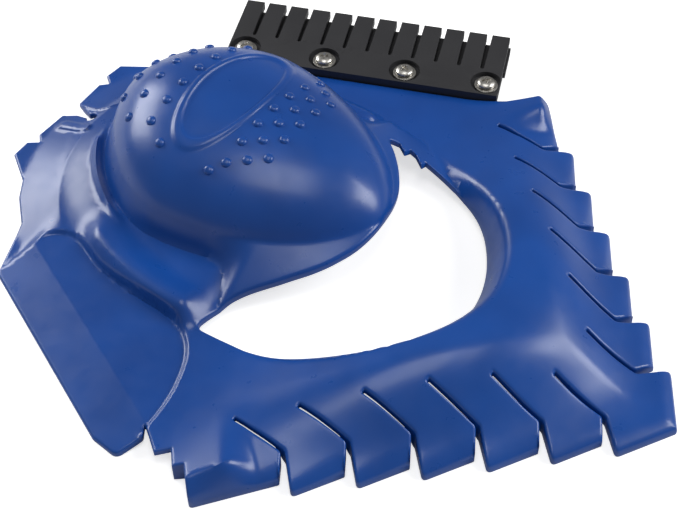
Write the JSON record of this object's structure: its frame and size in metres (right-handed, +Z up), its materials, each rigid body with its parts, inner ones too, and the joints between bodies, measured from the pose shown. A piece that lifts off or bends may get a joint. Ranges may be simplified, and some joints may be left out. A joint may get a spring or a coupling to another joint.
{
  "type": "windshield ice scraper",
  "caption": "Flat diamond-shaped ice scraper with a hollow palm dome, a hand hole behind flexible scraping fingers, and a screwed-on toothed comb over a straight blade strip.",
  "frame": {"origin": "middle of the underside: the point under the centre of the overall box, on the glass plane", "axes": "+X along the centre line from the palm dome towards the corner finger, +Y towards the toothed comb, +Z up from the glass"},
  "size_m": [0.2748, 0.2478, 0.0447],
  "materials": {
    "blue_plastic": "glossy, moulded",
    "black_plastic": "matte, moulded",
    "steel": "zinc plated"
  },
  "bodies": {
    "root": {"scraper_body": "blue_plastic", "ice_comb": "black_plastic", "blade_strip": "black_plastic", "screw_1": "steel", "screw_2": "steel", "screw_3": "steel", "screw_4": "steel", "washer_1": "steel", "washer_2": "steel", "washer_3": "steel", "washer_4": "steel"}
  },
  "joints": []
}
